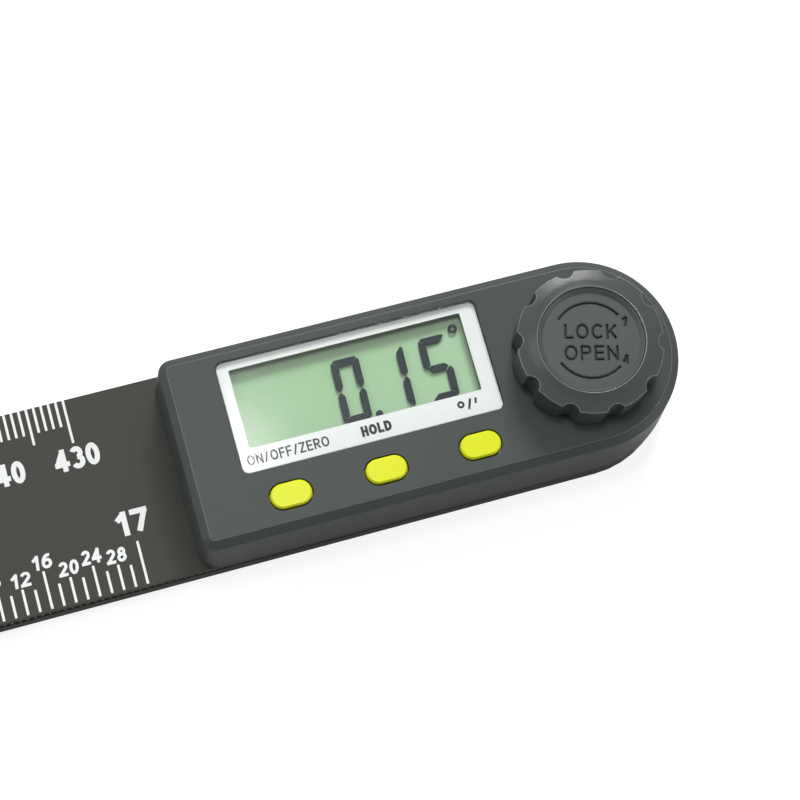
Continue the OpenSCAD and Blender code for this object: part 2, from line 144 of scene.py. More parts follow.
def smooth(piece, angle=32):
    """Rounded faces shade as one, and edges sharper than the angle stay crisp."""
    select_only(piece)
    bpy.ops.object.shade_smooth_by_angle(angle=math.radians(angle))


def joined(pieces, name):
    bpy.ops.object.select_all(action="DESELECT")
    for piece in pieces:
        piece.select_set(True)
    bpy.context.view_layer.objects.active = pieces[0]
    bpy.ops.object.join()
    pieces[0].name = name
    apply_place(pieces[0])
    return pieces[0]


def wear(piece, *finishes):
    piece.data.materials.clear()
    for finish in finishes:
        piece.data.materials.append(finish.material)


def belong(piece, body):
    """The piece moves with a body."""
    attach(piece, body)


def dress(piece, body, finish):
    wear(piece, finish)
    belong(piece, body)


# %% [markdown]
# ## Materials from arithmetic
# A finish is a small network of nodes. Wiring it by hand is long, so one class stands for a node's
# output and turns Python's operators into Math nodes, also when the number comes first. A second class
# owns the material and has the one method that adds every other kind of node.

# %% Shader maths as expressions


class Wire:
    """A node's output, ready for arithmetic."""

    def __init__(self, finish, socket):
        self.finish = finish
        self.socket = socket

    def maths(self, operation, *values):
        return self.finish.node("ShaderNodeMath", {"operation": operation}, dict(enumerate(values)))

    def __add__(self, other):
        return self.maths("ADD", self, other)

    def __radd__(self, other):
        return self.maths("ADD", other, self)

    def __sub__(self, other):
        return self.maths("SUBTRACT", self, other)

    def __rsub__(self, other):
        return self.maths("SUBTRACT", other, self)

    def __mul__(self, other):
        return self.maths("MULTIPLY", self, other)

    def __rmul__(self, other):
        return self.maths("MULTIPLY", other, self)

    def __pow__(self, other):
        return self.maths("POWER", self, other)

    def __gt__(self, other):
        return self.maths("GREATER_THAN", self, other)

    def sine(self):
        return self.maths("SINE", self)

    def clamped(self):
        return self.maths("MINIMUM", self.maths("MAXIMUM", self, 0.0), 1.0)


class Finish:
    """One material. Its node() adds a node with settings first, then values or links."""

    def __init__(self, name):
        self.material = bpy.data.materials.new(name)
        self.material.use_nodes = True
        self.tree = self.material.node_tree
        self.tree.nodes.clear()

    def node(self, kind, settings=None, inputs=None, output=0):
        made = self.tree.nodes.new(kind)
        for name, value in (settings or {}).items():
            if name == "stops":
                self.set_stops(made.color_ramp, value)
            else:
                setattr(made, name, value)
        for name, value in (inputs or {}).items():
            if isinstance(value, Wire):
                self.tree.links.new(value.socket, made.inputs[name])
            else:
                made.inputs[name].default_value = value
        return Wire(self, made.outputs[output]) if made.outputs else None

    def set_stops(self, ramp, stops):
        while len(ramp.elements) < len(stops):
            ramp.elements.new(0.5)
        for element, (position, colour) in zip(ramp.elements, stops):
            element.position = position
            element.color = colour

    def place(self):
        return self.node("ShaderNodeTexCoord", output="Object")

    def noise(self, size, detail=2.0, output=0, **more):
        """Noise with blotches of about this size, in metres."""
        inputs = {"Vector": self.place(), "Scale": 1 / size, "Detail": detail, **more}
        return self.node("ShaderNodeTexNoise", {}, inputs, output)

    def between(self, factor, first, second):
        """A colour between two colours."""
        inputs = {0: factor, 6: first, 7: second}
        return self.node("ShaderNodeMix", {"data_type": "RGBA"}, inputs, output=2)

    def bump(self, height, distance, strength=1.0):
        inputs = {"Height": height, "Distance": distance, "Strength": strength}
        return self.node("ShaderNodeBump", {}, inputs)

    def show(self, shader):
        self.node("ShaderNodeOutputMaterial", {}, {"Surface": shader})
        return self

    def principled(self, **inputs):
        named = {name.replace("_", " "): value for name, value in inputs.items()}
        return self.show(self.node("ShaderNodeBsdfPrincipled", {}, named))


def grey(colour, factor):
    """A colour made darker or lighter by a factor, with full alpha."""
    return tuple(min(channel * factor, 1.0) for channel in colour) + (1.0,)


# %% [markdown]
# ## Moulded plastic
# The arms, the housing and the knob are injection moulded in a steel tool with a fine spark-eroded
# texture. It shows as a soft, slightly cloudy sheen with a grain of about a tenth of a millimetre. So
# the colour drifts a little over centimetres, and the grain moves roughness and bump, and no picture
# of a texture is needed.

# %% Plastics


def moulded_plastic(name, colour, roughness=0.5, grain=0.00012, depth=0.000004, cloud=0.12, shine=0.22):
    finish = Finish(name)
    drift = finish.noise(0.018, 3.0)
    fine = finish.noise(grain, 3.0)
    tone = (0.5 + (drift - 0.5) * 1.2 + (fine - 0.5) * 0.35).clamped()
    base = finish.between(tone, grey(colour, 1 - cloud), grey(colour, 1 + cloud))
    sheen = roughness + (fine - 0.5) * 0.16 + (drift - 0.5) * 0.08
    return finish.principled(Base_Color=base, Roughness=sheen, Normal=finish.bump(fine, depth),
                             Specular_IOR_Level=shine)


arm_plastic = moulded_plastic("arm_plastic", (0.042, 0.042, 0.035), roughness=0.5, cloud=0.10)
housing_plastic = moulded_plastic("housing_plastic", (0.056, 0.067, 0.062), roughness=0.42)
knob_plastic = moulded_plastic("knob_plastic", (0.054, 0.063, 0.057), roughness=0.32, shine=0.3, cloud=0.08)
cap_plastic = moulded_plastic("cap_plastic", (0.080, 0.091, 0.083), roughness=0.40, cloud=0.08)
# A near black plastic for the engraved slots: painted shade in the grooves.
groove_shade_plastic = moulded_plastic("groove_shade_plastic", (0.016, 0.018, 0.017), roughness=0.35)
# A lighter, glossier plastic for thin edge bevels: a painted highlight line.
edge_highlight_plastic = moulded_plastic("edge_highlight_plastic", (0.20, 0.22, 0.21), roughness=0.22, shine=0.5, cloud=0.3)
black_plastic = moulded_plastic("black_plastic", (0.02, 0.02, 0.022), roughness=0.4)
white_plastic = moulded_plastic("white_plastic", (0.78, 0.78, 0.75), roughness=0.45, cloud=0.03)
key_plastic = moulded_plastic("key_plastic", (0.77, 0.82, 0.011), roughness=0.3, depth=0.000002, cloud=0.05)
white_ink = moulded_plastic("white_ink", (0.89, 0.91, 0.90), roughness=0.45, grain=0.00025, cloud=0.05)
black_ink = moulded_plastic("black_ink", (0.012, 0.012, 0.012), roughness=0.4, cloud=0.2)
mask_print = moulded_plastic("mask_print", (0.86, 0.89, 0.88), roughness=0.35, cloud=0.02)

# %% [markdown]
# ## Metals and the parts inside
# Bolt and washers are zinc plated, the bush and the nut are turned brass. Turning leaves fine rings
# round the axis, and a distance from the axis turned into a sine gives them. The circuit board wears
# green lacquer with its tracks showing through, and the elastomer strip is striped across.

# %% Metals, board and elastomer
STRIPE_PITCH = 0.0004    # metres from one of the elastomer's dark stripes to the next


def turned_metal(name, colour, roughness=0.3, ring=0.00012, centre=(0.0, 0.0, 0.0)):
    finish = Finish(name)
    moved = finish.node("ShaderNodeMapping", {}, {"Vector": finish.place(), "Location": centre})
    x = finish.node("ShaderNodeSeparateXYZ", {}, {"Vector": moved}, output="X")
    y = finish.node("ShaderNodeSeparateXYZ", {}, {"Vector": moved}, output="Y")
    radius = (x * x + y * y) ** 0.5
    rings = (radius * (2 * math.pi / ring)).sine()
    blotches = finish.noise(0.0015, 4.0)
    base = finish.between(blotches, grey(colour, 0.85), grey(colour, 1.1))
    normal = finish.bump(rings * 0.5 + blotches, 0.000003)
    sheen = roughness + (blotches - 0.5) * 0.25
    return finish.principled(Base_Color=base, Metallic=1.0, Roughness=sheen, Normal=normal)


def lacquered_board(name):
    finish = Finish(name)
    cells = {"Vector": finish.place(), "Scale": 700.0}
    tracks = finish.node("ShaderNodeTexVoronoi", {"distance": "CHEBYCHEV"}, cells) > 0.42
    base = finish.between(tracks, (0.012, 0.10, 0.04, 1), (0.02, 0.17, 0.07, 1))
    return finish.principled(Base_Color=base, Roughness=0.3, Normal=finish.bump(tracks, 0.00003))


def striped_elastomer(name):
    finish = Finish(name)
    along = finish.node("ShaderNodeSeparateXYZ", {}, {"Vector": finish.place()}, output="X")
    stripes = (along * (2 * math.pi / STRIPE_PITCH)).sine() > 0.0
    base = finish.between(stripes, (0.03, 0.03, 0.035, 1), (0.55, 0.25, 0.30, 1))
    return finish.principled(Base_Color=base, Roughness=0.6, Normal=finish.bump(stripes, 0.00001))


plated_steel = turned_metal("plated_steel", (0.60, 0.61, 0.62))
bright_steel = turned_metal("bright_steel", (0.72, 0.72, 0.71), 0.22, centre=(0.036, 0.0, 0.0))
turned_brass = turned_metal("turned_brass", (0.72, 0.52, 0.22), 0.28)
spring_strip = turned_metal("spring_strip", (0.76, 0.62, 0.36), 0.25, ring=0.002)
board_lacquer = lacquered_board("board_lacquer")
elastomer = striped_elastomer("elastomer")

# %% [markdown]
# ## Glass and liquid crystal
# The window is a thin clear plate. Real refraction would cost light and shadows for nothing at this
# thickness, so the plate lets light straight through and mirrors what Fresnel's law says it should.
# The reflector behind the digits is a pale green film with a fine silvery grain. Its colour is painted
# paler towards its right end: painted light and shade across the display.

# %% Clear window and display film


def clear_plate(name, tint, ior, roughness):
    finish = Finish(name)
    front = 1.0 - finish.node("ShaderNodeNewGeometry", output="Backfacing")
    smears = 0.92 + finish.noise(0.004, 2.0) * 0.16
    mirrored = finish.node("ShaderNodeFresnel", {}, {"IOR": ior}) * front * smears
    through = finish.node("ShaderNodeBsdfTransparent", {}, {"Color": tint})
    gloss = finish.node("ShaderNodeBsdfGlossy", {}, {"Color": (1, 1, 1, 1), "Roughness": roughness})
    return finish.show(finish.node("ShaderNodeMixShader", {}, {0: mirrored, 1: through, 2: gloss}))


def display_film(name):
    finish = Finish(name)
    grain = finish.noise(0.00009, 2.0)
    drift = finish.noise(0.02, 2.0)
    along = finish.node("ShaderNodeSeparateXYZ", {}, {"Vector": finish.place()}, output="X")
    # The term along x makes the film paler towards its right end: painted light and shade.
    tone = (0.5 + (grain - 0.5) * 0.5 + (drift - 0.5) * 0.5 + (along + 0.034) * 18.0).clamped()
    base = finish.between(tone, (0.25, 0.45, 0.215, 1), (0.46, 0.665, 0.44, 1))
    return finish.principled(Base_Color=base, Roughness=0.45, Normal=finish.bump(grain, 0.000004))


window_clear = clear_plate("window_clear", (0.99, 0.995, 0.99, 1), 1.38, 0.11)
glass_clear = clear_plate("glass_clear", (0.985, 0.995, 0.985, 1), 1.14, 0.14)
film_green = display_film("film_green")
crystal_dark = moulded_plastic("crystal_dark", (0.007, 0.017, 0.021), roughness=0.6, cloud=0.15)

# %% [markdown]
# ## Softening the moulded parts
# No moulding has a knife edge: every corner has a small radius that catches the light. The CAD parts
# are exact but sharp, so each visible one is copied, its loose triangles are merged and its flat faces
# joined, and its sharp edges are bevelled. The copy then stands for the part.

# %% Eased copies of the CAD parts
BODIES = frame["record"]["behaviour"]["bodies"]
BODY_OF = {node: body for body, nodes in BODIES.items() for node in nodes}
MERGE = 0.003            # vertices closer than this, in mm, are one
FLAT = 0.5               # faces within this many degrees are joined
KEY_RADIUS = 0.22        # the keys' upper edges, in mm


def copy_of(node, name):
    piece = bpy.data.objects.new(name, frame["nodes"][node].data.copy())
    bpy.context.scene.collection.objects.link(piece)
    select_only(piece)
    bpy.ops.mesh.customdata_custom_splitnormals_clear()
    edit(piece)
    bpy.ops.mesh.remove_doubles(threshold=MERGE * MM)
    bpy.ops.mesh.dissolve_limited(angle_limit=math.radians(FLAT))
    stop_editing()
    return piece


def is_sharp(edge, angle=28):
    return len(edge.link_faces) == 2 and edge.calc_face_angle(0) > math.radians(angle)


def bevel_picked(width, segments=3, coat=-1):
    """Bevel what is selected. With a coat, the new faces wear that finish of the piece, and the width
    isn't held back by short edges beside it."""
    bpy.ops.mesh.bevel(offset=width * MM, segments=segments, affect="EDGES", clamp_overlap=coat < 0,
                       material=coat)


def ease(piece, bevels):
    """Bevel the sharp edges that each test picks, by the width beside it."""
    edit(piece)
    for test, width, *more in bevels:
        if pick(piece, "EDGE", lambda e: is_sharp(e) and test(centre_mm(e))):
            bevel_picked(width, *more)
    stop_editing()


def eased(node, bevels, *finishes, angle=32):
    piece = copy_of(node, node + "_eased")
    wear(piece, *finishes)
    ease(piece, bevels)
    smooth(piece, angle)
    apply_modifier(piece, "WEIGHTED_NORMAL", keep_sharp=True)
    belong(piece, BODY_OF[node])
    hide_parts(node)
    print(node, "eased:", len(piece.data.polygons), "faces")
    return piece


def everywhere(place):
    return True


eased("upper_arm", [(everywhere, 0.10, 2)], arm_plastic)
eased("lower_arm", [(everywhere, 0.15, 2)], arm_plastic)
eased("battery_cover", [(everywhere, 0.08, 2)], arm_plastic)
for key in ("power_key", "hold_key", "unit_key"):
    eased(key, [(lambda c: c[2] > PLATEAU, KEY_RADIUS, 4)], key_plastic)

# %% [markdown]
# ## The housing's rim
# Light runs along three lines of the housing: the round edge where the wall turns into the sloped rim,
# the fine step where the rim meets the plateau, and the edge of the window's pocket. The first has a
# radius that a finger feels, and the others are hardly broken, so each height gets its own bevel. The
# step's narrow bevel is made of a lighter, glossier plastic: a painted highlight line.

# %% Housing
RIM = PLATEAU - 0.87     # height where the wall turns into the sloped rim
PLATEAU_SIDE = 11        # the pockets lie nearer to the middle line than this
PLATEAU_REAR = -52       # and further forward than this


def near(value, target, tolerance=0.03):
    return abs(value - target) < tolerance


def plateau_outline(place):
    """The plateau's outer edge, and not its pockets for the window and the keys."""
    on_side = abs(place[1]) > PLATEAU_SIDE
    on_round_end = place[0] > 0 and math.hypot(place[0], place[1]) > PLATEAU_SIDE
    on_end = place[0] < PLATEAU_REAR or on_round_end
    return near(place[2], PLATEAU, 0.005) and (on_side or on_end)


# The bevel on the plateau's step takes the lighter plastic, a painted highlight line.
eased("housing_cover", [
    (lambda c: near(c[2], RIM, 0.02), 0.16, 3),
    (plateau_outline, 0.05, 1, 1),
    (lambda c: near(c[2], PLATEAU, 0.005), 0.05, 2),
], housing_plastic, edge_highlight_plastic)

# %% [markdown]
# ## The knob
# The grip is a ring of ten lobes under a shallow cone. Where cone and wall meet there is a crisp line
# that catches the light, so it gets a narrow bevel, after the notches' shoulders are rounded broadly.
# That bevel, and the one round the recess for the cap, are made of a lighter, glossier plastic: a
# painted highlight line.

# %% Lock knob
knob_low, knob_high = box_mm("lock_knob")
KNOB_MIDDLE = (knob_low[2] + knob_high[2]) / 2
INSIDE_R = 8.4           # the knob's inner walls lie within this radius
TOP_EDGES_R = 6.7        # the edges of its top, the recess's rim among them, lie outside this one
TOP_EDGES_Z = 19.0       # and higher than this
NOTCH_RADIUS = 0.5       # rounding of the notches' shoulders


def wall_edge(place):
    """The knob's upright edges, and nothing of its inside."""
    return math.hypot(place[0], place[1]) > INSIDE_R and near(place[2], KNOB_MIDDLE, 1.2)


def outer_edge(place):
    """The edges of the knob's top, round the cone and round the recess for the cap."""
    return math.hypot(place[0], place[1]) > TOP_EDGES_R and place[2] > TOP_EDGES_Z


# The bevels on the top edges take the lighter plastic, a painted highlight line.
knob = eased("lock_knob", [(wall_edge, NOTCH_RADIUS, 4), (outer_edge, 0.09, 2, 1)], knob_plastic,
             edge_highlight_plastic, angle=20)

# %% [markdown]
# ## An even sheen on the cone
# The notches cut the cone into many small facets, and smooth shading shows them as faint dents. A plain
# cone of the same slope has none, so its normals are transferred to the vertices that lie on it.

# %% The cone's normals
CONE_FOOT_R, CONE_FOOT_Z = 9.62, 20.59   # the cone's outer edge: radius and height
CONE_HEAD_R, CONE_HEAD_Z = 8.305, 21.01  # and its inner edge
SLOPE = (CONE_HEAD_Z - CONE_FOOT_Z) / (CONE_FOOT_R - CONE_HEAD_R)


def cone_height(radius):
    return CONE_FOOT_Z + (CONE_FOOT_R - radius) * SLOPE


def on_cone(vertex):
    radius = math.hypot(vertex.co.x, vertex.co.y) / MM
    return radius > CONE_HEAD_R + 0.05 and near(vertex.co.z / MM, cone_height(radius), 0.012)


GUIDE_OUTER, GUIDE_INNER = CONE_FOOT_R + 0.6, CONE_HEAD_R - 0.3
guide_low, guide_high = cone_height(GUIDE_OUTER), cone_height(GUIDE_INNER)
bpy.ops.object.select_all(action="DESELECT")
bpy.ops.mesh.primitive_cone_add(vertices=256, radius1=GUIDE_OUTER * MM, radius2=GUIDE_INNER * MM,
                                depth=(guide_high - guide_low) * MM, end_fill_type="NOTHING",
                                location=(0, 0, (guide_low + guide_high) / 2 * MM))
guide = bpy.context.object
bpy.ops.object.shade_smooth()
select_only(knob)
bpy.ops.object.vertex_group_add()
edit(knob)
print("knob vertices on the cone:", pick(knob, "VERT", on_cone))
bpy.ops.object.vertex_group_assign()
stop_editing()
apply_modifier(knob, "DATA_TRANSFER", object=guide, use_loop_data=True, data_types_loops={"CUSTOM_NORMAL"},
               loop_mapping="POLYINTERP_NEAREST", vertex_group=knob.vertex_groups[0].name)
bpy.ops.object.vertex_group_remove(all=True)
bpy.data.objects.remove(guide)

# %% [markdown]
# ## Lettering
# The numerals are a bold sans serif and the engraved words a plain single line. A typeface could be
# loaded from a file, but both are simple enough to write with a pen: each sign is a few straight or
# bent strokes in a box one unit high, and a flat nib is swept along them. The nib's width makes the
# same strokes bold or thin, and a nib that narrows downwards makes an engraver's groove.

# %% Strokes of the signs


def arc(cx, cy, rx, ry, start, end):
    """Points along a part of an ellipse, every 12 degrees or so."""
    steps = max(4, round(abs(end - start) / 12))
    angles = [math.radians(start + (end - start) * i / steps) for i in range(steps + 1)]
    return [(cx + rx * math.cos(a), cy + ry * math.sin(a)) for a in angles]


def oval(cx, cy, rx, ry):
    return arc(cx, cy, rx, ry, 90, 450)


STEM = [(0, 0), (0, 1)]
BOWL = [(0, 1), (0.26, 1)] + arc(0.26, 0.74, 0.24, 0.26, 75, -75) + [(0.26, 0.48), (0, 0.48)]
# Each sign: its width, and its strokes in a box from 0 to 1 high
SIGNS = {
    "0": (0.50, [oval(0.25, 0.5, 0.25, 0.5)]),
    "1": (0.27, [[(0.27, 0), (0.27, 1)], [(0.25, 0.98), (0, 0.72)]]),
    "2": (0.50, [arc(0.25, 0.73, 0.24, 0.27, 165, -35) + [(0.02, 0.02)], [(0, 0), (0.5, 0)]]),
    "3": (0.50, [arc(0.24, 0.76, 0.22, 0.24, 155, -90), arc(0.24, 0.27, 0.26, 0.27, 90, -155)]),
    "4": (0.56, [[(0.4, 0), (0.4, 1)], [(0.4, 1), (0, 0.3)], [(0, 0.27), (0.56, 0.27)]]),
    "5": (0.50, [[(0.46, 1), (0.1, 1)], [(0.1, 1), (0.04, 0.5)], arc(0.25, 0.33, 0.25, 0.33, 140, -150)]),
    "6": (0.50, [oval(0.26, 0.31, 0.24, 0.31), arc(0.36, 0.4, 0.34, 0.6, 190, 70)]),
    "7": (0.50, [[(0, 1), (0.5, 1)], [(0.5, 0.98), (0.16, 0)]]),
    "8": (0.50, [oval(0.25, 0.76, 0.2, 0.24), oval(0.25, 0.27, 0.25, 0.27)]),
    "9": (0.50, [oval(0.24, 0.69, 0.24, 0.31), arc(0.14, 0.6, 0.34, 0.6, 10, -110)]),
    "C": (0.60, [arc(0.32, 0.5, 0.32, 0.5, 42, 318)]),
    "D": (0.54, [STEM, [(0, 1), (0.2, 1)] + arc(0.2, 0.5, 0.34, 0.5, 75, -75) + [(0.2, 0), (0, 0)]]),
    "E": (0.44, [STEM, [(0, 1), (0.44, 1)], [(0, 0.52), (0.4, 0.52)], [(0, 0), (0.44, 0)]]),
    "F": (0.42, [STEM, [(0, 1), (0.42, 1)], [(0, 0.52), (0.38, 0.52)]]),
    "H": (0.50, [STEM, [(0.5, 0), (0.5, 1)], [(0, 0.52), (0.5, 0.52)]]),
    "K": (0.52, [STEM, [(0, 0.36), (0.5, 1)], [(0.17, 0.57), (0.52, 0)]]),
    "L": (0.40, [STEM, [(0, 0), (0.4, 0)]]),
    "N": (0.54, [STEM, [(0, 1), (0.54, 0)], [(0.54, 0), (0.54, 1)]]),
    "O": (0.64, [oval(0.32, 0.5, 0.32, 0.5)]),
    "P": (0.50, [STEM, BOWL]),
    "R": (0.50, [STEM, BOWL, [(0.22, 0.48), (0.5, 0)]]),
    "Z": (0.48, [[(0, 1), (0.48, 1)], [(0.48, 1), (0, 0)], [(0, 0), (0.48, 0)]]),
    "/": (0.34, [[(0, -0.05), (0.34, 1.05)]]),
}

# %% [markdown]
# ## The pen
# Each stroke becomes a curve of straight pieces, and a small closed curve, the nib, is its bevel
# object. That keeps the pen's width the same round every bend, which moving points by hand would not.
# The swept curves are made a mesh at once, because only a mesh can be joined, cut or placed.

# %% A pen with a nib
LAYER = 0.0004           # each stroke lies this much higher than the last, so that no faces coincide
SQUARE_END = 0.5         # an upright or level stroke grows by this share of the pen at its ends
SLANTED_END = 0.22       # and a slanted one by this share
LETTER_GAP = 0.17        # gap between signs, on top of the pen's width, as a share of their height


def lengthened(points, width):
    """An open stroke with square ends; a slanted one grows less."""
    stroke_ends = []
    for end, inner in ((points[0], points[1]), (points[-1], points[-2])):
        dx, dy = end[0] - inner[0], end[1] - inner[1]
        length = math.hypot(dx, dy)
        grow = width * (SQUARE_END if min(abs(dx), abs(dy)) < 0.02 * length else SLANTED_END)
        stroke_ends.append((end[0] + dx / length * grow, end[1] + dy / length * grow))
    return [stroke_ends[0], *points[1:-1], stroke_ends[1]]


def sweep(strokes, profile, z, name):
    """Sweep a nib's profile, in mm across and up, along flat strokes in mm."""
    nib_curve = bpy.data.curves.new("nib", "CURVE")
    edge = nib_curve.splines.new("POLY")
    edge.points.add(len(profile) - 1)
    edge.use_cyclic_u = True
    for point, (across, up) in zip(edge.points, profile):
        point.co = (across * MM, up * MM, 0, 1)
    nib = bpy.data.objects.new("nib", nib_curve)
    path = bpy.data.curves.new(name, "CURVE")
    path.dimensions = "3D"
    path.twist_mode = "Z_UP"
    path.bevel_mode = "OBJECT"
    path.bevel_object = nib
    path.use_fill_caps = True
    for row, points in enumerate(strokes):
        closed = math.dist(points[0], points[-1]) < 1e-6
        points = points[:-1] if closed else points
        line = path.splines.new("POLY")
        line.points.add(len(points) - 1)
        line.use_cyclic_u = closed
        for point, (x, y) in zip(line.points, points):
            point.co = (x * MM, y * MM, (z + row * LAYER) * MM, 1)
    piece = bpy.data.objects.new(name, path)
    bpy.context.scene.collection.objects.link(piece)
    select_only(piece)
    bpy.ops.object.convert(target="MESH")
    bpy.ops.object.shade_flat()
    bpy.data.objects.remove(nib)
    edit(piece)
    bpy.ops.mesh.remove_doubles(threshold=0.0002 * MM)
    bpy.ops.mesh.normals_make_consistent(inside=False)
    stop_editing()
    return piece


def flat_nib(width, depth):
    return [(-width / 2, 0), (width / 2, 0), (width / 2, depth), (-width / 2, depth)]


def written(text, height, centre, width, pen, slant=0.0, turn=0.0):
    """The strokes of a text of this outer height and width, centred on a point."""
    gap = LETTER_GAP + pen / height
    natural = sum(SIGNS[sign][0] for sign in text) + gap * (len(text) - 1)
    tall = height - pen
    stretch = (width - pen) / natural
    strokes = []
    left = 0.0
    for sign in text:
        sign_width, parts = SIGNS[sign]
        for part in parts:
            points = [((left + x) * stretch, y * tall) for x, y in part]
            is_open = math.dist(points[0], points[-1]) > 1e-6
            strokes.append(lengthened(points, pen) if is_open and len(points) == 2 else points)
        left += sign_width + gap
    cos, sin = math.cos(math.radians(turn)), math.sin(math.radians(turn))
    placed = []
    for points in strokes:
        moved = [(x - (width - pen) / 2 + slant * y, y - tall / 2) for x, y in points]
        placed.append([(centre[0] + cos * x - sin * y, centre[1] + sin * x + cos * y)
                       for x, y in moved])
    return placed


# %% [markdown]
# ## Printed scales
# Each arm has a millimetre scale on one edge and an inch scale on the other. A tick is a bar with eased
# corners, drawn once and repeated by an Array modifier at its own pitch. The upper arm's millimetres
# start at 430 beside the housing and go on to its free end. Its inches run the other way, from the free
# end to 17. The lower arm's scales are the other halves, and stand the other way up, because that arm
# is swung right round when they are read.

# %% Ticks
TICK = 0.34              # width of a printed line
MM_TICKS = [6.0, 3.5, 3.5, 3.5, 3.5, 5.0, 3.5, 3.5, 3.5, 3.5]
INCH = 25.4
INCH_EDGE = 0.25         # the inch ticks stop this far from the edge
TICK_CORNER = 0.06       # how much is taken off a tick's corners
SIXTEENTHS = [5.85, 3.0, 3.45, 3.0, 4.15, 3.0, 3.45, 3.0, 5.1, 3.0, 3.45, 3.0, 4.15, 3.0, 3.45, 3.0]


def tick_row(first_x, pitch, count, y_from, y_to, z):
    """A row of ticks: the first lies at first_x, and each runs between two heights across the arm."""
    size = (TICK * MM, abs(y_to - y_from) * MM, INK * MM)
    middle = (first_x * MM, (y_from + y_to) / 2 * MM, (z + INK / 2) * MM)
    bpy.ops.object.select_all(action="DESELECT")
    bpy.ops.mesh.primitive_cube_add(size=1, location=middle, scale=size)
    piece = bpy.context.object
    apply_place(piece)
    edit(piece)
    pick(piece, "EDGE", lambda e: abs((e.verts[0].co - e.verts[1].co).z) > INK * MM / 2)
    bevel_picked(TICK_CORNER, 1)
    stop_editing()
    apply_modifier(piece, "ARRAY", count=count, use_relative_offset=False, use_constant_offset=True,
                   constant_offset_displace=(pitch * MM, 0, 0))
    return piece


def mm_ticks(first_x, first_mark, count, direction, edge, z):
    """Millimetre ticks from the edge inwards; every fifth and tenth is longer."""
    rows = []
    inwards = -math.copysign(1, edge)
    for offset in range(10):
        length = MM_TICKS[(first_mark + offset) % 10]
        copies = (count - offset + 9) // 10
        start = first_x + direction * offset
        rows.append(tick_row(start, 10 * direction, copies, edge, edge + inwards * length, z))
    return rows


def inch_ticks(zero_x, inches, direction, edge, z):
    """Ticks a sixteenth of an inch apart, in the five lengths of a draughtsman's scale."""
    rows = []
    inwards = -math.copysign(1, edge)
    start = edge + inwards * INCH_EDGE
    for step, length in enumerate(SIXTEENTHS):
        first = zero_x + direction * INCH * step / 16
        copies = inches + 1 if step == 0 else inches
        rows.append(tick_row(first, INCH * direction, copies, start, start + inwards * length, z))
    return rows


# %% [markdown]
# ## The scales' numbers
# The numbers are printed in the same white ink, bold for tens and inches and small for the 32nds of an
# inch. The big ones differ all along the arm, so each is written on its own. The small ones repeat in
# every inch, so they are written once and repeated by an Array modifier.

# %% Numerals
MM_NUMERALS = {"height": 3.05, "sign": 2.02, "pen": 0.68}
INCH_NUMERALS = {"height": 3.3, "sign": 2.2, "pen": 0.74}
SMALL_NUMERALS = {"height": 1.95, "sign": 1.33, "pen": 0.41}
SMALL_GAP = 1.22         # from a tick's inner end to the middle of its small number
MM_ROW = 5.5             # from the arm's middle line to the middle of the millimetre numbers
INCH_ROW = 4.75          # and of the inch numbers


def numeral(number, style, centre, z, turn=0.0, slant=0.0):
    text = str(number)
    width = style["sign"] * len(text)
    strokes = written(text, style["height"], centre, width, style["pen"], slant, turn)
    return sweep(strokes, flat_nib(style["pen"], INK), z, "numeral_" + text)


def numeral_row(first_x, pitch, numbers, y, style, z, turn=0.0):
    return [numeral(number, style, (first_x + pitch * step, y), z, turn)
            for step, number in enumerate(numbers)]


def fraction_numerals(zero_x, inches, direction, side, z, turn=0.0):
    """The small numbers over every fourth 32nd, repeated for each inch."""
    rows = []
    for number in range(4, 32, 4):
        length = SIXTEENTHS[number // 2]
        y = side * (ARM_EDGE - INCH_EDGE - length - SMALL_GAP)
        centre = (zero_x + direction * INCH * number / 32, y)
        label = numeral(number, SMALL_NUMERALS, centre, z, turn, slant=0.1)
        apply_modifier(label, "ARRAY", count=inches, use_relative_offset=False, use_constant_offset=True,
                       constant_offset_displace=(direction * INCH * MM, 0, 0))
        rows.append(label)
    return rows


MM_START = -67.2         # the upper arm's 430 tick
INCH_END = -62.3         # the upper arm's 17 inch tick
INCHES = 17
INCH_ZERO = INCH_END - INCHES * INCH
Z_UPPER = ARM_TOP - INK / 4

upper_marks = joined(
    mm_ticks(MM_START, 430, int(MM_START - FREE_END), -1, ARM_EDGE, Z_UPPER)
    + inch_ticks(INCH_ZERO, INCHES, 1, -ARM_EDGE, Z_UPPER)
    + numeral_row(MM_START, -10, range(430, 860, 10), MM_ROW, MM_NUMERALS, Z_UPPER)
    + numeral_row(INCH_ZERO + INCH, INCH, range(1, INCHES + 1), -INCH_ROW, INCH_NUMERALS, Z_UPPER)
    + fraction_numerals(INCH_ZERO, INCHES, 1, -1, Z_UPPER),
    "upper_arm_scales")
dress(upper_marks, BODY_OF["upper_arm"], white_ink)
print("upper scales:", len(upper_marks.data.polygons), "faces")

# %% [markdown]
# ## The lower arm's scales
# With the arms nearly closed only a row of tick ends peeks out under the upper arm. When the arm
# swings out the whole scale shows, so all of it is printed. It is made on the closed arm and then
# turned with it by the angle that the display shows.

# %% The lower arm's scales
LOWER_MM = 457           # the lower millimetre scale runs from its free end to this mark
LOWER_MARGIN = 0.16      # its ticks stop this far from the rounded edge
Z_LOWER = LOWER_TOP - INK / 4

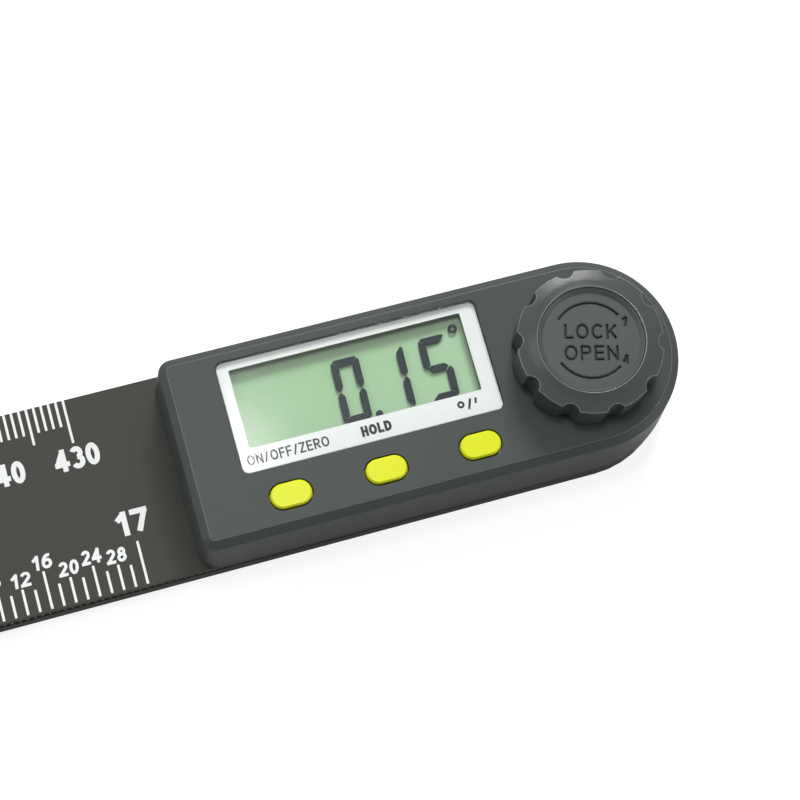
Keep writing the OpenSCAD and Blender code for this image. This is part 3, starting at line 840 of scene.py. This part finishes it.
lower_marks = joined(
    mm_ticks(FREE_END + 1, 1, LOWER_MM, 1, -ARM_EDGE + LOWER_MARGIN, Z_LOWER)
    + inch_ticks(INCH_END, INCHES, -1, ARM_EDGE, Z_LOWER)
    + numeral_row(FREE_END + 10, 10, range(10, 460, 10), -MM_ROW, MM_NUMERALS, Z_LOWER, turn=180)
    + numeral_row(INCH_END, -INCH, range(17, 34), INCH_ROW, INCH_NUMERALS, Z_LOWER, turn=180)
    + fraction_numerals(INCH_END, INCHES, -1, 1, Z_LOWER, turn=180),
    "lower_arm_scales")
lower_marks.rotation_euler[2] = math.radians(SHOWN_ANGLE)
apply_place(lower_marks)
dress(lower_marks, BODY_OF["lower_arm"], white_ink)
print("lower scales:", len(lower_marks.data.polygons), "faces")

# %% [markdown]
# ## The display
# A liquid crystal display is a sandwich: a clear front glass, dark segments in the liquid layer, and a
# reflector behind. The segments hang above the reflector, so they cast the soft shadows that make such
# a display look deep. One box of glass in the CAD model becomes these layers here.

# %% Glass and reflector
glass_low, glass_high = box_mm("lcd_panel")
SEGMENTS_Z = glass_high[2] - 0.42
FILM_Z = glass_high[2] - 0.85
GLASS_EDGE = 0.08        # how much is ground off the glass's edges
FILM_EDGE = 0.05


def plate(name, z_from, z_to, edge):
    """A plate of the display's outline between two heights, with ground edges."""
    middle = [(a + b) / 2 * MM for a, b in zip(glass_low, glass_high)]
    size = [(b - a) * MM for a, b in zip(glass_low, glass_high)]
    bpy.ops.object.select_all(action="DESELECT")
    bpy.ops.mesh.primitive_cube_add(size=1, location=(middle[0], middle[1], (z_from + z_to) / 2 * MM),
                                    scale=(size[0], size[1], (z_to - z_from) * MM))
    piece = bpy.context.object
    piece.name = name
    apply_place(piece)
    edit(piece)
    pick(piece, "EDGE", is_sharp)
    bevel_picked(edge, 1)
    stop_editing()
    return piece


front_glass = plate("lcd_front_glass", FILM_Z + 0.02, glass_high[2], GLASS_EDGE)
dress(front_glass, BODY_OF["lcd_panel"], glass_clear)
reflector = plate("lcd_reflector", glass_low[2], FILM_Z, FILM_EDGE)
dress(reflector, BODY_OF["lcd_panel"], film_green)
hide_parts("lcd_panel")

# %% [markdown]
# ## Seven segments
# Each segment is a bar whose ends are cut by mitres, so it starts as a plane and the bisect tool cuts
# the ends. All digits share one cell, and a shear leans the finished row.

# %% Digits
CELL_W = 3.84
CELL_H = 8.75
BAR = 1.0
CHAMFER = 0.42           # the digits' outer corners are cut off by this much
MITRE = 0.05             # half of the gap that the mitres leave
CELL_PITCH = 5.97
CELL_X = -32.6           # left edge of the first digit
CELL_Y = -1.05           # foot of the digits
LEAN = 0.035
MID = CELL_H / 2
SEGMENT_CORNER = 0.1
SEGMENT_DEPTH = 0.02
DECIMAL_POINT = {"centre": (4.79, 0.36), "radius": 0.5}
DEGREE_SIGN = {"centre": (16.94, CELL_H + 0.31), "radius": 0.62, "hole": 0.26}

# Each segment: the box of its bar, and the cuts at its ends as (point, outward direction)
TOP_LEFT, TOP_RIGHT = (0, CELL_H), (CELL_W, CELL_H)
FOOT_LEFT, FOOT_RIGHT = (0, 0), (CELL_W, 0)
TIP_X = BAR * 0.45
CELL_BARS = {
    "top": ((0, CELL_W, CELL_H - BAR, CELL_H), [(TOP_LEFT, (-1, -1)), (TOP_RIGHT, (1, -1))]),
    "foot": ((0, CELL_W, 0, BAR), [(FOOT_LEFT, (-1, 1)), (FOOT_RIGHT, (1, 1))]),
    "middle": ((0, CELL_W, MID - BAR / 2, MID + BAR / 2),
               [((TIP_X, MID), (-1, 1)), ((TIP_X, MID), (-1, -1)),
                ((CELL_W - TIP_X, MID), (1, 1)), ((CELL_W - TIP_X, MID), (1, -1))]),
    "upper_left": ((0, BAR, MID, CELL_H),
                   [(TOP_LEFT, (1, 1)), ((TIP_X, MID), (-1, -1)), ((TIP_X, MID), (1, -1))]),
    "upper_right": ((CELL_W - BAR, CELL_W, MID, CELL_H),
                    [(TOP_RIGHT, (-1, 1)), ((CELL_W - TIP_X, MID), (-1, -1)),
                     ((CELL_W - TIP_X, MID), (1, -1))]),
    "lower_left": ((0, BAR, 0, MID),
                   [(FOOT_LEFT, (1, -1)), ((TIP_X, MID), (-1, 1)), ((TIP_X, MID), (1, 1))]),
    "lower_right": ((CELL_W - BAR, CELL_W, 0, MID),
                    [(FOOT_RIGHT, (-1, -1)), ((CELL_W - TIP_X, MID), (-1, 1)),
                     ((CELL_W - TIP_X, MID), (1, 1))]),
}
CORNER_CUTS = [((CHAMFER, CELL_H), (-1, 1)), ((CELL_W - CHAMFER, CELL_H), (1, 1)),
               ((CHAMFER, 0), (-1, -1)), ((CELL_W - CHAMFER, 0), (1, -1))]
READING = [
    ("top", "upper_left", "upper_right", "lower_left", "lower_right", "foot"),
    ("upper_right", "lower_right"),
    ("top", "upper_left", "middle", "lower_right", "foot"),
]


def thicken(piece, depth):
    """Give a flat piece a thickness upwards, and close it."""
    edit(piece)
    bpy.ops.mesh.extrude_region_move(TRANSFORM_OT_translate={"value": (0, 0, depth * MM)})
    bpy.ops.mesh.select_all(action="SELECT")
    bpy.ops.mesh.normals_make_consistent(inside=False)
    stop_editing()


def segment(name, left):
    (x0, x1, y0, y1), cuts = CELL_BARS[name]
    bpy.ops.object.select_all(action="DESELECT")
    bpy.ops.mesh.primitive_plane_add(size=1, location=((x0 + x1) / 2 * MM, (y0 + y1) / 2 * MM, 0))
    piece = bpy.context.object
    piece.scale = ((x1 - x0) * MM, (y1 - y0) * MM, 1)
    apply_place(piece)
    edit(piece)
    for (x, y), (nx, ny) in cuts + CORNER_CUTS:
        outward = Vector((nx, ny, 0)).normalized()
        point = Vector((x, y, 0)) * MM - outward * MITRE * MM
        bpy.ops.mesh.select_all(action="SELECT")
        bpy.ops.mesh.bisect(plane_co=point, plane_no=outward, clear_outer=True, clear_inner=False)
    bpy.ops.mesh.select_all(action="SELECT")
    bpy.ops.mesh.bevel(offset=SEGMENT_CORNER * MM, segments=2, affect="VERTICES", clamp_overlap=True)
    stop_editing()
    piece.location = (left * MM, 0, 0)
    apply_place(piece)
    return piece


def disc(centre, radius, hole=0.0):
    """A round mark, or a ring."""
    bpy.ops.object.select_all(action="DESELECT")
    bpy.ops.mesh.primitive_circle_add(vertices=32, radius=radius * MM, fill_type="NGON",
                                      location=(centre[0] * MM, centre[1] * MM, 0))
    piece = bpy.context.object
    apply_place(piece)
    if hole:
        edit(piece)
        pick(piece, "FACE", lambda f: True)
        bpy.ops.mesh.inset(thickness=(radius - hole) * MM)
        bpy.ops.mesh.delete(type="FACE")
        stop_editing()
    return piece


digits = [segment(name, CELL_PITCH * i) for i, names in enumerate(READING) for name in names]
digits.append(disc(**DECIMAL_POINT))
digits.append(disc(**DEGREE_SIGN))
reading = joined(digits, "lcd_digits")
reading.data.transform(Matrix(((1, LEAN, 0, 0), (0, 1, 0, 0), (0, 0, 1, 0), (0, 0, 0, 1))))
reading.location = ((CELL_X - LEAN * MID) * MM, CELL_Y * MM, SEGMENTS_Z * MM)
apply_place(reading)
thicken(reading, SEGMENT_DEPTH)
dress(reading, BODY_OF["lcd_panel"], crystal_dark)

# %% [markdown]
# ## The window
# The window is a clear plate with polished corners, laid in the housing's pocket over the white mask.
# A hair of air stays between them, so that the print on the mask isn't buried in the window. The CAD
# part's lowest vertices are moved up by that much, and its upper edges get a small bevel.

# %% Window
AIR = 0.04               # gap between the mask's print and the window

window = copy_of("display_lens", "display_window")
edit(window)
pick(window, "VERT", lambda v: near(v.co.z / MM, MASK_TOP, 0.01))
bpy.ops.transform.translate(value=(0, 0, AIR * MM))
stop_editing()
ease(window, [(lambda c: c[2] > PLATEAU - 0.2, 0.08, 2)])
smooth(window)
apply_modifier(window, "WEIGHTED_NORMAL", keep_sharp=True)
dress(window, BODY_OF["display_lens"], window_clear)
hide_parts("display_lens")

# %% [markdown]
# ## Labels on the mask
# The keys' names are printed on the white mask in black. The pen of the scales writes them too: fine
# for the power key and bold for the hold key. The third key switches between degrees and minutes, so a
# small ring, a slash and a short stroke stand beside it.

# %% Labels on the mask
LABEL_Y = -2.7
LABEL_H = 1.4
LABEL_Z = MASK_TOP - 0.005
FINE_PEN, BOLD_PEN, SIGN_PEN = 0.22, 0.36, 0.30
UNIT_SIGNS = [oval(-17.5, -2.47, 0.34, 0.34), [(-16.1, -1.94), (-16.6, -3.3)],
              [(-15.38, -1.98), (-15.54, -2.74)]]

power_name = written("ON/OFF/ZERO", LABEL_H, (-40.87, LABEL_Y), 10.9, FINE_PEN)
hold_name = written("HOLD", LABEL_H, (-29.04, LABEL_Y), 4.05, BOLD_PEN)
labels = joined([
    sweep(power_name, flat_nib(FINE_PEN, INK), LABEL_Z, "power"),
    sweep(hold_name, flat_nib(BOLD_PEN, INK), LABEL_Z, "hold"),
    sweep(UNIT_SIGNS, flat_nib(SIGN_PEN, INK), LABEL_Z, "degrees_minutes"),
], "key_labels")
dress(labels, BODY_OF["display_mask"], black_ink)

# %% [markdown]
# ## The engraved cap
# The disc in the knob says which way to turn it. The words and the two arrows are sunk into it, so they
# are cut out of a turned disc with Boolean modifiers, and light and shadow draw them. The narrow slot at
# the bottom of each line is also made of a near black plastic: painted shade in the groove.

# %% Cap and its engraving
RECESS = 0.72            # how deep the cap's floor lies under the knob's top
LIP = 0.5                # height of the cap's own rim over its floor
LIP_FLAT, LIP_SLOPE = 0.1, 0.5   # widths of the rim's flat top and of the slope inside it
ENGRAVED = 0.4           # depth of the engraving
SHOULDER = 0.1           # the surface falls this much towards an engraved line
WORD_HEIGHT, WORD_PEN = 2.0, 0.3
ARROW_RADIUS = 5.03
cap_top = knob_high[2] - RECESS
# Half of each cutter's section as (across, up): first the shoulders, then the slot between them
SHOULDERS = [(0.14, 0), (0.3, SHOULDER), (0.46, 2 * SHOULDER)]
SLOT = [(0.11, 0), (0.15, ENGRAVED + SHOULDER)]

bpy.ops.object.select_all(action="DESELECT")
bpy.ops.mesh.primitive_cylinder_add(vertices=128, radius=CAP_RADIUS * MM,
                                    depth=(cap_top + LIP - CAP_LOW) * MM,
                                    location=(0, 0, (cap_top + LIP + CAP_LOW) / 2 * MM))
cap = bpy.context.object
cap.name = "engraved_cap"
apply_place(cap)
edit(cap)
pick(cap, "FACE", lambda f: f.normal.z > 0.9)
bpy.ops.mesh.inset(thickness=LIP_FLAT * MM)
bpy.ops.mesh.inset(thickness=LIP_SLOPE * MM)
bpy.ops.transform.translate(value=(0, 0, -LIP * MM))
stop_editing()
ease(cap, [(lambda c: c[2] > cap_top + LIP - 0.01, 0.05, 2)])

words_and_arrows = (
    written("LOCK", WORD_HEIGHT, (0.0, 1.22), 6.85, WORD_PEN)
    + written("OPEN", WORD_HEIGHT, (0.0, -1.65), 7.05, WORD_PEN)
    + [
        arc(0, 0, ARROW_RADIUS, ARROW_RADIUS, 147, 43),
        [(4.72, 3.2), (4.12, 2.78)],
        [(4.74, 3.15), (4.54, 1.93)],
        arc(0, 0, ARROW_RADIUS, ARROW_RADIUS, -144, -43),
        [(4.6, -1.85), (4.1, -2.84)],
        [(4.62, -1.95), (4.6, -3.05)],
    ])
# The slots take the near black plastic, painted shade in the engraving.
wear(cap, cap_plastic, groove_shade_plastic)
for half, depth, finish in ((SHOULDERS, SHOULDER, cap_plastic), (SLOT, ENGRAVED, groove_shade_plastic)):
    nib = [(-across, up) for across, up in half] + half[::-1]
    cutter = sweep(words_and_arrows, nib, cap_top - depth, "cutter")
    wear(cutter, finish)
    apply_modifier(cap, "BOOLEAN", operation="DIFFERENCE", solver="EXACT", use_self=True,
                   material_mode="TRANSFER", object=cutter)
    bpy.data.objects.remove(cutter)
cap.rotation_euler[2] = math.radians(KNOB_ANGLE)
apply_place(cap)
smooth(cap, 25)
belong(cap, BODY_OF["knob_cap"])
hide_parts("knob_cap")
print("cap:", len(cap.data.polygons), "faces")

# %% [markdown]
# ## Finishes of the CAD parts that stay
# The parts under the covers keep their CAD shape. They show when the tool is opened up, so each gets
# the finish of its real material.

# %% Give the remaining parts their finish
FINISH_OF = {
    "display_mask": mask_print, "zebra_strip": elastomer, "circuit_board": board_lacquer,
    "key_switches": black_plastic, "pivot_bush": turned_brass, "slip_washer": white_plastic,
    "battery_cell": bright_steel, "battery_holder": black_plastic, "battery_contact_top": spring_strip,
    "battery_contact_side": spring_strip, "housing_screws": plated_steel, "board_screws": plated_steel,
    "pivot_bolt": plated_steel, "spring_washer": plated_steel, "encoder_rotor": board_lacquer,
    "thrust_sleeve": plated_steel, "clamp_washer": plated_steel, "knob_insert": turned_brass,
}
for node, finish in FINISH_OF.items():
    wear(frame["nodes"][node], finish)

# %% [markdown]
# ## Floor, light and camera
# The tool lies on a white table. For the camera the table's material adds white of its own, so that it
# stays white right up to the tool and keeps a faint shadow. The light that it throws back on the tool
# comes from a plain, darker white, and mirroring surfaces see a pale one.

# %% Floor and world
FLOOR_SIZE = 6           # metres
FLOOR_GAP = 0.02         # mm between the floor and the lower arm, so that their faces don't coincide


def rays(finish, *names):
    """1 for a ray of one of these kinds, and 0 for any other."""
    total = 0.0
    for name in names:
        total = total + finish.node("ShaderNodeLightPath", output=name)
    return total.clamped()


bpy.ops.object.select_all(action="DESELECT")
bpy.ops.mesh.primitive_plane_add(size=FLOOR_SIZE, location=(-0.25, 0, -FLOOR_GAP * MM))
floor = bpy.context.object
floor.name = "floor"
paper = Finish("floor_white")
lit = paper.node("ShaderNodeBsdfDiffuse", {}, {"Color": (0.28, 0.28, 0.27, 1)})
faint = paper.node("ShaderNodeBsdfDiffuse", {}, {"Color": (0.36, 0.36, 0.36, 1)})
glow = paper.node("ShaderNodeEmission", {}, {"Color": (1, 1, 0.995, 1), "Strength": 0.84})
seen = paper.node("ShaderNodeAddShader", {}, {0: faint, 1: glow})
pale = paper.node("ShaderNodeBsdfDiffuse", {}, {"Color": (0.9, 0.9, 0.9, 1)})
by_mirror = rays(paper, "Is Glossy Ray", "Is Transmission Ray")
by_camera = rays(paper, "Is Camera Ray")
unseen = paper.node("ShaderNodeMixShader", {}, {0: by_mirror, 1: lit, 2: pale})
paper.show(paper.node("ShaderNodeMixShader", {}, {0: by_camera, 1: unseen, 2: seen}))
floor.data.materials.append(paper.material)

world = bpy.data.worlds.new("studio")
bpy.context.scene.world = world
world.use_nodes = True
sky = Finish("sky_nodes")
sky.tree = world.node_tree
sky.tree.nodes.clear()
white = sky.node("ShaderNodeBackground", {}, {"Color": (1, 1, 1, 1), "Strength": 1.0})
dim = sky.node("ShaderNodeBackground", {}, {"Color": (0.95, 0.98, 1.0, 1), "Strength": 0.15})
sees_white = rays(sky, "Is Camera Ray", "Is Glossy Ray", "Is Transmission Ray")
backdrop = sky.node("ShaderNodeMixShader", {}, {0: sees_white, 1: dim, 2: white})
sky.node("ShaderNodeOutputWorld", {}, {"Surface": backdrop})

# %% [markdown]
# ## Lamps
# Soft light comes from rectangular lamps. The key light stands behind the tool and casts the short
# shadows inside the window and the knob. A small one straight above shows in the window's near left
# corner as a pale glare, and two weak ones at the sides draw the edges.

# %% Lamps


def softbox(name, direction, distance, size, energy):
    """A rectangular lamp that looks at the middle of the housing from a direction."""
    target = Vector((-0.028, 0.0, 0.01))
    place = target + Vector(direction).normalized() * distance
    bpy.ops.object.light_add(type="AREA", location=place)
    lamp = bpy.context.object
    lamp.name = name
    lamp.data.shape = "RECTANGLE"
    lamp.data.size, lamp.data.size_y = size
    lamp.data.energy = energy
    lamp.rotation_euler = (target - place).to_track_quat("-Z", "Y").to_euler()
    return lamp


softbox("key_light", (0.30, 0.88, 0.84), 1.0, (0.32, 0.32), 7.6)
softbox("top_light", (-0.006, 0.156, 0.99), 1.0, (0.13, 0.15), 1.75)
softbox("left_light", (-0.96, 0.32, 0.85), 1.0, (0.5, 0.5), 2.2)
softbox("edge_light", (0.84, -0.74, 0.30), 1.0, (0.6, 0.2), 2.0)

# %% [markdown]
# ## Camera
# The picture was taken from about 29 cm, nearly from above and a little turned. The camera stands at
# that angle, and its place follows from the point it aims at and where that point lies in the picture.

# %% Camera
FOCAL = 97.785           # focal length on a sensor 36 mm wide
SENSOR = 36.0
PICTURE = 800            # the picture is this many pixels wide and high
AZIMUTH, ELEVATION, ROLL = (math.radians(a) for a in (-34.1, 75.02, 18.87))
DISTANCE = 292.9         # mm from the camera to the aimed point's plane
AIM = Vector((-17.19, 0.0, 4.7))
AIM_PIXEL = (450.4, 403.7)

away = Vector((math.sin(AZIMUTH) * math.cos(ELEVATION), -math.cos(AZIMUTH) * math.cos(ELEVATION),
               math.sin(ELEVATION)))
level = Vector((0, 0, 1)).cross(away).normalized()
upright = away.cross(level)
right = math.cos(ROLL) * level + math.sin(ROLL) * upright
up = math.cos(ROLL) * upright - math.sin(ROLL) * level
pixels = FOCAL / SENSOR * PICTURE
beside = (AIM_PIXEL[0] - PICTURE / 2) / pixels * DISTANCE
above = (PICTURE / 2 - AIM_PIXEL[1]) / pixels * DISTANCE
eye = AIM - beside * right - above * up + DISTANCE * away

camera_data = bpy.data.cameras.new("camera")
camera_data.lens = FOCAL
camera_data.sensor_width = SENSOR
camera_data.clip_start = 0.01
camera = bpy.data.objects.new("camera", camera_data)
bpy.context.scene.collection.objects.link(camera)
turned = Matrix((right, up, away)).transposed().to_4x4()
camera.matrix_world = Matrix.Translation(eye * MM) @ turned
bpy.context.scene.camera = camera
bpy.context.scene.view_settings.view_transform = "Standard"
print("camera at", [round(v, 1) for v in eye])

# %% [markdown]
# ## The last cell
# Nothing is left selected.

# %% Leave nothing selected
bpy.ops.object.select_all(action="DESELECT")
